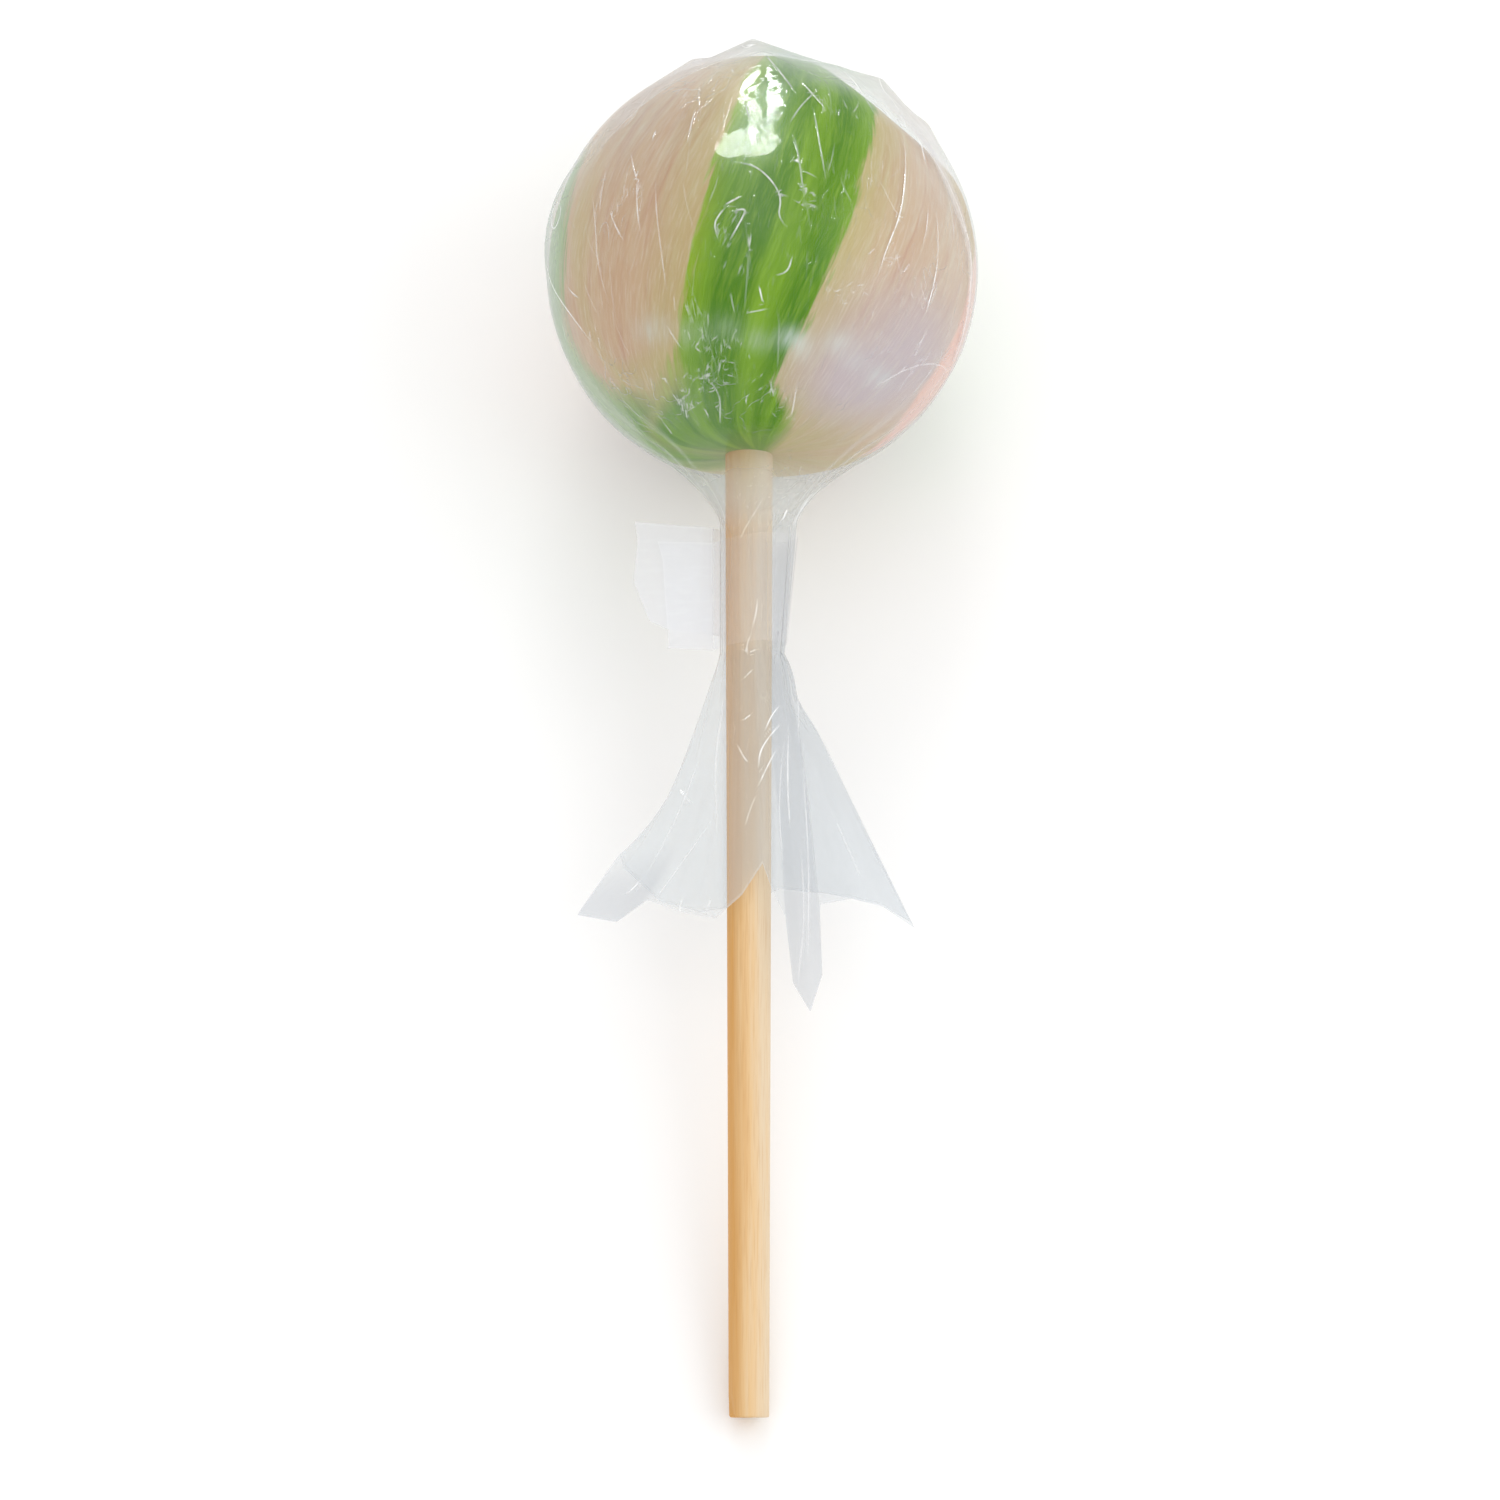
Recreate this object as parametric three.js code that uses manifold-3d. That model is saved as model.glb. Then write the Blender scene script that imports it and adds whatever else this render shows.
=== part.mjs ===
// A ball lollipop lying on a table: a hard candy ball on a wooden stick, wrapped in a clear film
// that is gathered round the stick, closed by a turn of clear tape and flared out below it.
//
// Everything is drawn in the lollipop's own axes: the ball's centre is the origin, the stick runs
// along -Y, +Z is the side that lies uppermost. The last group leans and lifts it onto the table.
// Millimetres and degrees, +Z up.

import * as THREE from 'three';
import { LoftGeometry } from 'three/addons/geometries/LoftGeometry.js';
import { mergeVertices } from 'three/addons/utils/BufferGeometryUtils.js';
import Module from 'manifold-3d';

const { cos, sin, tan, asin, atan, hypot, max, min, PI } = Math;
const degree = PI / 180;

// ---- driving dimensions ----

const ballRadius = 24.8;
const baseDistance = 22.55; // ball's centre to the flattened base that the stick enters
const baseSharpness = 60; // how quickly the round turns into the flattened base
const sideDistance = 23; // ball's centre to a dull flat on the upper right
const sidePolar = 42; // where that flat is: degrees from the top of the ball
const sideTurn = 17; // and round it from the right, towards the upper side
const ballSides = 48;
const ballRows = 28;

const stickLength = 150;
const stickReach = 137.4; // ball's centre to the tip
const stickOffset = -1.58; // the stick stands a little left of the ball's middle
const stickHeadRadius = 2.88;
const stickTipRadius = 2.33;
const tipSlant = 12; // the tip is cut a little askew, longer on its upper side
const stickSides = 24;
const socketGap = 0.3;

const filmWall = 0.2;
const filmGap = 0.3; // film to candy, and tape to film
const filmSlack = 0.45; // how far the film stands off between its tight facets
const peakSlack = 1.1; // extra slack over the top of the ball
const peakWidth = 26;
const shoulderSlack = 0.9; // a fold that stands off the upper right of the ball
const shoulderWidth = 13;
const facetCount = 54;
const facetSwing = 0.35; // radians that the facets stray from their spiral
const facetLift = 0.1;
const facetLiftChange = 0.12;
const restClearance = 26; // no facet lies this close to the flat spot underneath
const headRows = 23;
const headEnd = 150; // polar angle from the top at which the film leaves the ball
const funnelRows = 5;
const funnelLeave = 8; // pull of the film's curve where it leaves the ball
const funnelDrop = 0.6; // and how much of that points down the stick
const funnelArrive = 7; // pull along the stick where it reaches the neck
const neckRows = 4;
const skirtRows = 9;
const around = 60;

const neckTop = 31;
const neckBottom = 46.6;
const neckRadius = 3.4;
const neckBulgeTop = 2.25; // the gathered film lies mostly to the right of the stick
const neckBulgeBottom = 1.1;
const bulgeSharpness = 1.5;
const pleatCount = 13;
const pleatDepth = 0.16;
const bulgePleatDepth = 0.3;

const tapeThickness = 0.35;
const tapeTop = 31.2;
const tapeBottom = 46.4;
const tapeSides = 40;

// ---- helpers ----

const wasm = await Module();
wasm.setup();

// A closed three.js geometry as a manifold solid.
function solidOf(geometry) {
  const bare = new THREE.BufferGeometry();
  bare.setAttribute('position', geometry.getAttribute('position'));
  bare.setIndex(geometry.index);
  const merged = mergeVertices(bare);
  return new wasm.Manifold(new wasm.Mesh({
    numProp: 3,
    vertProperties: merged.attributes.position.array,
    triVerts: new Uint32Array(merged.index.array),
  }));
}

// A manifold solid as a three.js geometry.
function geometryOf(solid) {
  const mesh = solid.getMesh();
  const geometry = new THREE.BufferGeometry();
  geometry.setAttribute('position', new THREE.BufferAttribute(mesh.vertProperties, 3));
  geometry.setIndex(new THREE.BufferAttribute(mesh.triVerts, 1));
  geometry.computeVertexNormals();
  return geometry;
}

function namedMesh(name, geometry, material) {
  const mesh = new THREE.Mesh(geometry, new THREE.MeshStandardMaterial(material));
  mesh.name = name;
  return mesh;
}

// Hermite blend from point a (leaving along ta) to point b (arriving along tb).
function hermite(a, ta, b, tb, t) {
  const t2 = t * t;
  const t3 = t2 * t;
  return new THREE.Vector3()
    .addScaledVector(a, 2 * t3 - 3 * t2 + 1)
    .addScaledVector(ta, t3 - 2 * t2 + t)
    .addScaledVector(b, 3 * t2 - 2 * t3)
    .addScaledVector(tb, t3 - t2);
}

// ---- how the lollipop lies ----

const filmRadius = ballRadius + filmGap + filmWall;
const restHeight = filmRadius; // ball's centre above the table
const tipBack = stickReach - stickTipRadius * tan(tipSlant * degree);
const lean = asin(restHeight / hypot(tipBack, stickTipRadius)) - atan(stickTipRadius / tipBack);
const down = new THREE.Vector3(0, -sin(lean), -cos(lean)); // towards the table

// ---- candy: a ball, flattened where the stick goes in and a little on the upper right ----

function direction(polar, angle) {
  return new THREE.Vector3(sin(polar) * cos(angle), cos(polar), sin(polar) * sin(angle));
}

// The smooth minimum of a distance from the centre and of a plane's, at an angle to its normal
// that has the cosine c.
function flattened(reach, distance, c) {
  if (c < 0.05) return reach;
  return (reach ** -baseSharpness + (distance / c) ** -baseSharpness) ** (-1 / baseSharpness);
}

function makeCandy() {
  const profile = [];
  for (let i = 0; i <= ballRows; i++) {
    const angle = (i / ballRows) * PI;
    const r = flattened(ballRadius, baseDistance, cos(angle));
    const onAxis = i === 0 || i === ballRows;
    profile.push(new THREE.Vector2(onAxis ? 0 : r * sin(angle), -r * cos(angle)));
  }
  const ball = new THREE.LatheGeometry(profile, ballSides);
  const place = ball.attributes.position;
  const side = direction(sidePolar * degree, sideTurn * degree);
  for (let i = 0; i < place.count; i++) {
    const point = new THREE.Vector3().fromBufferAttribute(place, i);
    const reach = point.length();
    point.setLength(flattened(reach, sideDistance, point.dot(side) / reach));
    place.setXYZ(i, point.x, point.y, point.z);
  }
  const depth = stickLength - stickReach + socketGap;
  const socket = new THREE.CylinderGeometry(
    stickHeadRadius + socketGap, stickHeadRadius + socketGap, depth + 2 * ballRadius, stickSides);
  socket.translate(stickOffset, depth - (depth + 2 * ballRadius) / 2, 0);
  return geometryOf(solidOf(ball).subtract(solidOf(socket)));
}

// ---- stick: a slim wooden rod, slightly tapered ----

function makeStick() {
  const rod = new THREE.CylinderGeometry(stickHeadRadius, stickTipRadius, stickLength, stickSides);
  const place = rod.attributes.position;
  for (let i = 0; i < place.count; i++) {
    if (place.getY(i) < 0) {
      place.setY(i, place.getY(i) - place.getZ(i) * tan(tipSlant * degree));
    }
  }
  rod.translate(stickOffset, stickLength / 2 - stickReach, 0);
  return rod;
}

// ---- wrapper: one thin sheet of film, closed over the ball and open at the skirt ----

// The film is pulled flat in facets, which a spiral spreads over the ball, at uneven distances.
// The flat spot that it rests on takes the place of those on the underside.
const facets = [];
for (let i = 0; i < facetCount; i++) {
  const height = 1 - (2 * i + 1) / facetCount;
  const turn = i * PI * (3 - 5 ** 0.5) + facetSwing * sin(i * 2.3);
  const rim = (1 - height * height) ** 0.5;
  const normal = new THREE.Vector3(rim * cos(turn), height, rim * sin(turn));
  const distance = filmRadius + facetLift + facetLiftChange * sin(i * 1.7);
  if (normal.angleTo(down) > restClearance * degree) facets.push({ normal, distance });
}

const peak = direction(0, 0);
const shoulder = direction(36 * degree, -14 * degree);

// Distance of the film's outside from the ball's centre in direction n: the slack envelope, cut
// off by the facets and by the flat spot that rests on the table.
function filmReach(n) {
  const fromPeak = n.angleTo(peak) / degree / peakWidth;
  const fromShoulder = n.angleTo(shoulder) / degree / shoulderWidth;
  const tent = peakSlack * Math.exp(-(fromPeak ** 2)) + shoulderSlack * Math.exp(-(fromShoulder ** 2));
  let reach = filmRadius + filmSlack + tent;
  for (const facet of facets) {
    const c = n.dot(facet.normal);
    if (c > 0.5) reach = min(reach, (facet.distance + tent) / c);
  }
  const c = n.dot(down);
  return c > 0.5 ? min(reach, restHeight / c) : reach;
}

// How far the gathered film stands out to the right of the stick.
function neckBulge(angle, share) {
  const width = neckBulgeTop + (neckBulgeBottom - neckBulgeTop) * share;
  return width * max(0, cos(angle)) ** bulgeSharpness;
}

// Outside of the gathered neck at an angle round the stick and a share of the way down it.
function neckPoint(angle, share, inset) {
  const pleat = (pleatDepth + bulgePleatDepth * max(0, cos(angle))) * cos(pleatCount * angle);
  const r = neckRadius + neckBulge(angle, share) + pleat - inset;
  const along = neckTop + (neckBottom - neckTop) * share;
  return new THREE.Vector3(stickOffset + r * cos(angle), -along, r * sin(angle));
}

// The skirt's hem, from the right round over the upper side. Each row: how far round the neck the
// film comes from (in steps of the sheet's grid), across, along and above the ball's centre, and
// how late that line of the skirt flares out.
const hem = [
  [1, 13.9, 76.8, -0.2, 0.9],
  [3, 10.3, 76.1, 0.7, 0.8],
  [5, 6.6, 77.0, 1.6, 0.6],
  [6, 6.9, 85.6, 2.4, 0.5],
  [8, 5.5, 90.2, 3.2, 0.5], // the hanging corner beside the stick
  [10, 3.5, 86.9, 3.6, 0.6],
  [11, 2.6, 78.9, 3.8, 0.8],
  [12, 1.0, 75.6, 3.9, 1.1],
  [14, 0.0, 72.7, 4.0, 1.1],
  [17, -2.4, 76.5, 4.0, 1.4],
  [21, -5.4, 79.1, 3.4, 1.4],
  [24, -9.1, 78.1, 2.0, 1.4],
  [27, -13.3, 76.1, 0.2, 1.4],
  [29, -16.9, 78.4, -1.2, 1.4],
  [31, -21.5, 77.1, -2.9, 1.35], // the left corner
  [33, -17.2, 71.9, -5.2, 1.3],
  [34, -16.1, 71.3, -6.6, 1.3],
  [37, -11.9, 74.6, -6.4, 1.4],
  [41, -7.3, 76.0, -5.8, 1.4],
  [45, -2.6, 75.4, -5.4, 1.4],
  [49, 2.0, 73.4, -5.2, 1.3],
  [53, 7.8, 74.1, -4.9, 1.2],
  [56, 13.6, 75.5, -4.2, 1.15],
  [58, 17.1, 77.8, -3.4, 1.1],
  [59, 17.6, 79.0, -1.6, 1.05], // the right corner
];

// The hem at a whole step of the grid, straight between the points above.
function hemPoint(step) {
  const next = hem.findIndex((row) => row[0] >= step);
  const b = hem[next < 0 ? 0 : next];
  const a = hem[(next < 1 ? hem.length : next) - 1];
  const from = a[0] > step ? a[0] - around : a[0];
  const to = b[0] < step ? b[0] + around : b[0];
  const t = (step - from) / (to - from);
  const [, across, along, above, lateness] = a.map((value, k) => value + (b[k] - value) * t);
  return { place: new THREE.Vector3(across, -along, above), lateness };
}

// The skirt flares like a bell: it follows the stick at first and spreads towards the hem.
function skirtPoint(step, share) {
  const start = neckPoint((step / around) * 2 * PI, 1, 0);
  const end = hemPoint(step);
  const flare = share ** end.lateness;
  return new THREE.Vector3(
    start.x + (end.place.x - start.x) * flare,
    start.y + (end.place.y - start.y) * share,
    start.z + (end.place.z - start.z) * flare);
}

function ringOf(pointAt) {
  return Array.from({ length: around }, (_, step) => pointAt(step, (step / around) * 2 * PI));
}

// Rings of the film from the top of the ball to the foot of the neck: the outside, moved inwards
// by inset.
function filmRings(inset) {
  const rings = [];
  for (let i = 0; i < headRows; i++) {
    const polar = ((i + 0.5) / (headRows - 0.5)) * headEnd * degree;
    rings.push(ringOf((step, angle) => {
      const n = direction(polar, angle);
      return n.multiplyScalar(filmReach(n) - inset);
    }));
  }
  const leave = rings[headRows - 1];
  for (let i = 1; i <= funnelRows; i++) {
    const share = i / (funnelRows + 1);
    rings.push(ringOf((step, angle) => {
      const inwards = new THREE.Vector3(-cos(angle), -funnelDrop, -sin(angle)).multiplyScalar(funnelLeave);
      const along = new THREE.Vector3(0, -funnelArrive, 0);
      return hermite(leave[step], inwards, neckPoint(angle, 0, inset), along, share);
    }));
  }
  for (let i = 0; i < neckRows; i++) {
    rings.push(ringOf((step, angle) => neckPoint(angle, i / neckRows, inset)));
  }
  return rings;
}

// Rings of the skirt down to the hem, moved inwards across the film by inset.
function skirtRings(inset) {
  const rings = [];
  for (let i = 0; i <= skirtRows; i++) {
    const share = i / skirtRows;
    const outside = ringOf((step) => skirtPoint(step, share));
    rings.push(outside.map((point, step) => {
      const before = outside[(step + around - 1) % around];
      const after = outside[(step + 1) % around];
      const run = new THREE.Vector2(after.x - before.x, after.z - before.z).normalize();
      return new THREE.Vector3(point.x - run.y * inset, point.y, point.z + run.x * inset);
    }));
  }
  return rings;
}

function makeWrapper() {
  const outside = [...filmRings(0), ...skirtRings(0)];
  const inside = [...filmRings(filmWall), ...skirtRings(filmWall)];
  // The last ring dips a little below the one before it, so that the cap on it faces the candy.
  const towardsCandy = new THREE.Vector3(0.5, 0.995, 0.5);
  const dip = inside[0].map((point) => point.clone().multiply(towardsCandy));
  const rings = [...outside, ...inside.reverse(), dip];
  return new LoftGeometry(rings, { capStart: true, capEnd: true });
}

// ---- tape: a band round the neck whose two ends are stuck together in a flag ----

function tapeLoop(angle, share, offset) {
  const clear = pleatDepth + bulgePleatDepth * max(0, cos(angle)) + filmGap;
  const r = neckRadius + neckBulge(angle, share) + clear + offset;
  return new THREE.Vector2(stickOffset + r * cos(angle), r * sin(angle));
}

function makeTape() {
  const sections = [];
  for (let i = 0; i <= tapeSides; i++) {
    const angle = (i / tapeSides) * 2 * PI;
    const corner = (share, offset, along) => {
      const p = tapeLoop(angle, share, offset);
      return new THREE.Vector3(p.x, -along, p.y);
    };
    sections.push([
      corner(0, 0, tapeTop),
      corner(1, 0, tapeBottom),
      corner(1, tapeThickness, tapeBottom),
      corner(0, tapeThickness, tapeTop),
    ]);
  }
  const band = solidOf(new LoftGeometry(sections));

  // The flag, seen square on: its free end is torn in steps.
  const outline = new THREE.Shape([
    new THREE.Vector2(-5.4, -31.5),
    new THREE.Vector2(-14.9, -30.6),
    new THREE.Vector2(-14.5, -32.8),
    new THREE.Vector2(-15.0, -37.6),
    new THREE.Vector2(-13.1, -42.9),
    new THREE.Vector2(-10.9, -43.7),
    new THREE.Vector2(-11.0, -45.7),
    new THREE.Vector2(-5.4, -46.3),
  ]);
  const flag = new THREE.ExtrudeGeometry(outline, { depth: 2 * tapeThickness, bevelEnabled: false });
  flag.translate(0, 0, -tapeThickness);
  return geometryOf(band.add(solidOf(flag)));
}

// ---- the whole ----

const group = new THREE.Group();
group.add(namedMesh('candy', makeCandy(), { color: '#c3a98c', roughness: 0.18, metalness: 0 }));
group.add(namedMesh('stick', makeStick(), { color: '#e2b878', roughness: 0.6, metalness: 0 }));
group.add(namedMesh('wrapper', makeWrapper(), { color: '#dfe4e8', roughness: 0.1, metalness: 0 }));
group.add(namedMesh('tape', makeTape(), { color: '#e2e5ea', roughness: 0.2, metalness: 0 }));
group.rotation.x = lean;
group.position.z = restHeight;

export default group;
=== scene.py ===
import math
from functools import partial

import bpy
import numpy as np
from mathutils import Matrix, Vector


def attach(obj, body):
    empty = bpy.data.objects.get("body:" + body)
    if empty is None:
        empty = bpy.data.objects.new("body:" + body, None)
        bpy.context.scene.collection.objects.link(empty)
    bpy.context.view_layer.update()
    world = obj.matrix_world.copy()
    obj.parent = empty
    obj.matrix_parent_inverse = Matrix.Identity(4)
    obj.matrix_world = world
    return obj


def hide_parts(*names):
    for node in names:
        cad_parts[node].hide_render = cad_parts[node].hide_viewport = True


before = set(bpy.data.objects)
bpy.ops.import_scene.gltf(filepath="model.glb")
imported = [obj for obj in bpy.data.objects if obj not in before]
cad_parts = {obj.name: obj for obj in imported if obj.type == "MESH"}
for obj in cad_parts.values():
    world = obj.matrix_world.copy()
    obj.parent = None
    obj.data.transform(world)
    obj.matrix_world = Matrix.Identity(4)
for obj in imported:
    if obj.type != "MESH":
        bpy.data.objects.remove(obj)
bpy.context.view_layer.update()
mm = 0.001
farAway = 99.0        # mm or degrees, past everything
rippleBall = 25.0     # mm, the ball as the ripples on it take it

# Shapes are worked out in the lollipop's own axes, in mm: the ball's centre is the origin, the
# stick runs along -y and z is the side that lies uppermost. placed() leans and lifts them.

lie = {
    "stickReach": 137.4,    # ball's centre to the stick's tip
    "tipRadius": 2.33,
    "tipSlant": 12.0,       # degrees, the tip is cut a little askew
    "restHeight": 25.3,     # ball's centre above the table
    "axisAcross": -1.58,    # the stick stands a little left of the ball's middle
}
tipBack = lie["stickReach"] - lie["tipRadius"] * math.tan(math.radians(lie["tipSlant"]))
lean = (math.asin(lie["restHeight"] / math.hypot(tipBack, lie["tipRadius"]))
        - math.atan(lie["tipRadius"] / tipBack))


def placed(points):
    # turn by the lean about x, lift by the rest height, mm to m
    x, y, z = points[..., 0], points[..., 1], points[..., 2]
    c, s = math.cos(lean), math.sin(lean)
    return np.stack([x, y * c - z * s, y * s + z * c + lie["restHeight"]], -1) * mm


def ripple(points, size, seed, waves=28):
    # a sum of sine waves of about one size in mm, in seeded directions: from about -1 to 1
    rng = np.random.default_rng(seed)
    way = rng.normal(size=(waves, 3))
    way /= np.linalg.norm(way, axis=1, keepdims=True)
    way *= (2 * np.pi / (size * rng.uniform(0.7, 1.5, waves)))[:, None]
    return np.cos(points @ way.T + rng.uniform(0, 2 * np.pi, waves)).sum(-1) / math.sqrt(waves)


def smoothStep(low, high, x):
    # 0 at low, 1 at high, level at both; high may be the smaller one
    t = np.clip((x - low) / (high - low), 0, 1)
    return t * t * (3 - 2 * t)


def wrapDegrees(a):
    return (a + 180) % 360 - 180


def onSphere(longitude, latitude):
    # the unit direction: longitude 0 is uppermost and grows to the right, latitude 90 is the far pole
    lon, lat = np.radians(longitude), np.radians(latitude)
    return np.stack([np.cos(lat) * np.sin(lon), np.sin(lat), np.cos(lat) * np.cos(lon)], -1)


def cloudsAt(longitude, latitude, clouds):
    # the sum of round hills on the sphere, each a longitude, latitude, half width, half height in
    # degrees and a strength
    total = np.zeros_like(longitude)
    for lon, lat, width, height, strength in clouds:
        across = wrapDegrees(longitude - lon) / width
        total += strength * np.exp(-across ** 2 - ((latitude - lat) / height) ** 2)
    return np.clip(total, 0, 1)


def meshFromRings(name, rings, material, values, startPole=None, endPole=None, closed=True, flip=False):
    # rings[i, j] is point j of ring i: quads join each ring to the next, closed rings meet
    # themselves, and a pole is one point joined to the ring beside it by a fan. values are the
    # attributes that the material reads, with a pole's taken as its ring's mean.
    rows, cols = rings.shape[:2]
    points = [rings.reshape(-1, 3)]
    i, j = np.meshgrid(np.arange(rows - 1), np.arange(cols if closed else cols - 1), indexing="ij")
    k = (j + 1) % cols
    quads = np.stack([i * cols + j, i * cols + k, (i + 1) * cols + k, (i + 1) * cols + j], -1)
    faces = quads.reshape(-1, 4).tolist()
    j = np.arange(cols)
    k = (j + 1) % cols
    top = rows * cols
    poleRows = []
    for pole, row, turned in ((startPole, 0, False), (endPole, rows - 1, True)):
        if pole is None:
            continue
        points.append(np.array(pole, float).reshape(1, 3))
        fan = np.stack([np.full(cols, top), row * cols + k, row * cols + j], -1)
        faces += (fan[:, ::-1] if turned else fan).tolist()
        poleRows.append(row)
        top += 1
    if flip:
        faces = [f[::-1] for f in faces]
    mesh = bpy.data.meshes.new(name)
    mesh.from_pydata(placed(np.concatenate(points)).tolist(), [], faces)
    for key, value in values.items():
        grid = value.reshape(rows, cols, -1).astype(np.float32)
        ends = [grid[row].mean(0)[None] for row in poleRows]
        flat = np.concatenate([grid.reshape(rows * cols, -1)] + ends)
        vector = flat.shape[1] == 3
        attribute = mesh.attributes.new(key, "FLOAT_VECTOR" if vector else "FLOAT", "POINT")
        attribute.data.foreach_set("vector" if vector else "value", flat.ravel())
    mesh.polygons.foreach_set("use_smooth", np.ones(len(mesh.polygons), bool))
    mesh.update()
    piece = bpy.data.objects.new(name, mesh)
    bpy.context.scene.collection.objects.link(piece)
    mesh.materials.append(material)
    return piece


def tone(hexColour):
    # sRGB hex to linear rgba
    rgb = np.array([int(hexColour[i:i + 2], 16) for i in (1, 3, 5)]) / 255
    linear = np.where(rgb <= 0.04045, rgb / 12.92, ((rgb + 0.055) / 1.055) ** 2.4)
    return (*linear.tolist(), 1.0)


asColour = {"output": 2, "data_type": "RGBA"}    # how a Mix node mixes colours


def addNode(tree, kind, inputs=(), output=0, **settings):
    # inputs, in order or by socket: a value or another node's output; gives one of its outputs
    node = tree.nodes.new("ShaderNode" + kind)
    for key, value in settings.items():
        setattr(node, key, value)
    for key, value in inputs.items() if isinstance(inputs, dict) else enumerate(inputs):
        if isinstance(value, bpy.types.NodeSocket):
            tree.links.new(value, node.inputs[key])
        else:
            node.inputs[key].default_value = value
    return node.outputs[output] if node.outputs else None


def newMaterial(name):
    # a bare material, and addNode for its own tree
    material = bpy.data.materials.new(name)
    material.use_nodes = True
    material.node_tree.nodes.clear()
    return material, partial(addNode, material.node_tree)


# Boiled sugar, pulled and twisted into a ball: bands of colour that run from pole to pole, with
# fine streaks along them, a smooth glossy surface and a little light passing through it.
def boiledSugar():
    look = {
        "streakWidth": 0.7,      # mm across the bands; the streaks are about eight times as long
        "strandsPerMm": 3.4, "patchesPerMm": 0.45, "shadesPerMm": 0.22,
        "edgeWander": 0.7,       # mm
        "sugar": "#C6A282", "sugarPale": "#CDB596", "rosy": "#BC8F76", "khaki": "#B8AA6C",
        "mauve": "#C0B0B1", "orange": "#DA9F52", "straw": "#A98217", "salmon": "#E2B4A3",
        "sugarStreak": "#D6D0B2", "sugarStrand": "#EAE5D6",
        "greenDeep": "#4E8006", "greenLight": "#79A21E", "greenYellow": "#8EA822",
        "greenPale": "#9ABB40", "sage": "#ABBB93", "milk": "#D3DAD6",
    }
    material, add = newMaterial("pulledBoiledSugar")
    way = add("Attribute", output="Vector", attribute_name="way")
    band, fromLeft, calm, mauve, milk, sage = (
        add("Attribute", output="Fac", attribute_name=key)
        for key in ("band", "fromLeft", "calm", "mauve", "milk", "sage"))
    streak = add("TexNoise", {"Vector": way, "Scale": 1 / look["streakWidth"], "Detail": 4.0,
                              "Roughness": 0.6})
    strand = add("TexNoise", {"Vector": way, "Scale": look["strandsPerMm"], "Detail": 3.0, "Roughness": 0.7})
    patch = add("TexNoise", {"Vector": way, "Scale": look["patchesPerMm"], "Detail": 4.0, "Roughness": 0.65,
                             "Distortion": 0.6})
    shade = add("TexNoise", {"Vector": way, "Scale": look["shadesPerMm"], "Detail": 3.0, "Roughness": 0.55})

    # the colours' edges wander with the streaks; khaki is where green has bled into the sugar
    wander = add("MapRange", [streak, 0.3, 0.7, -look["edgeWander"], look["edgeWander"]])
    wander = add("Math", [wander, calm], operation="MULTIPLY")
    edge = add("Math", [band, wander], operation="ADD")
    inBand = add("MapRange", [edge, -0.35, 0.45])
    khaki = add("MapRange", [edge, -7.0, 0.0])
    for share in (add("MapRange", [shade, 0.3, 0.6, 0.45, 0.95]),
                  add("MapRange", [sage, 0.0, 0.4, 1.0, 0.0])):
        khaki = add("Math", [khaki, share], operation="MULTIPLY")
    left = add("Math", [fromLeft, wander], operation="ADD")
    glow = add("MapRange", [left, 2.4, 0.3])
    for share in (add("MapRange", [left, -2.5, -0.5]), add("MapRange", [streak, 0.35, 0.6, 0.4, 0.9])):
        glow = add("Math", [glow, share], operation="MULTIPLY")
    faded = add("MapRange", [streak, 0.35, 0.65, 1.0, 0.8])
    faded = add("Math", [sage, faded], operation="MULTIPLY")
    milk = add("Math", [milk, add("MapRange", [streak, 0.3, 0.6, 0.35, 1.0])], operation="MULTIPLY")

    # colours laid one over another: how much of each shows, and its name
    overSugar = [(add("MapRange", [shade, 0.25, 0.85]), "sugarPale"),
                 (add("MapRange", [patch, 0.5, 0.7, 0.0, 0.8]), "rosy"), (khaki, "khaki"), (mauve, "mauve")]
    for colour in ("orange", "straw", "salmon"):
        stripe = add("Attribute", output="Fac", attribute_name=colour)
        stripe = add("Math", [wander, 0.5, stripe], operation="MULTIPLY_ADD")
        overSugar.append((add("MapRange", [stripe, -0.6, 0.6]), colour))
    overSugar += [(add("MapRange", [streak, 0.5, 0.75, 0.0, 0.22]), "sugarStreak"),
                  (add("MapRange", [strand, 0.5, 0.68, 0.0, 0.2]), "sugarStrand")]
    overGreen = [(add("MapRange", [shade, 0.4, 0.7]), "greenLight"), (glow, "greenYellow"),
                 (add("MapRange", [streak, 0.5, 0.72, 0.0, 0.32]), "greenPale"),
                 (add("MapRange", [strand, 0.5, 0.66, 0.0, 0.28]), "greenPale"), (faded, "sage")]
    sugar, green = tone(look["sugar"]), tone(look["greenDeep"])
    for share, colour in overSugar:
        sugar = add("Mix", {0: share, 6: sugar, 7: tone(look[colour])}, **asColour)
    for share, colour in overGreen:
        green = add("Mix", {0: share, 6: green, 7: tone(look[colour])}, **asColour)
    body = add("Mix", {0: inBand, 6: sugar, 7: green}, **asColour)
    body = add("Mix", {0: milk, 6: body, 7: tone(look["milk"])}, **asColour)

    bump = add("Bump", {"Height": streak, "Strength": 0.12, "Distance": 0.00008})
    skin = add("BsdfPrincipled", {
        "Base Color": body, "Roughness": 0.3, "IOR": 1.2, "Subsurface Weight": 0.12,
        "Subsurface Radius": (1.0, 0.7, 0.4), "Subsurface Scale": 0.0015, "Normal": bump})
    add("OutputMaterial", {"Surface": skin})
    return material


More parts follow.
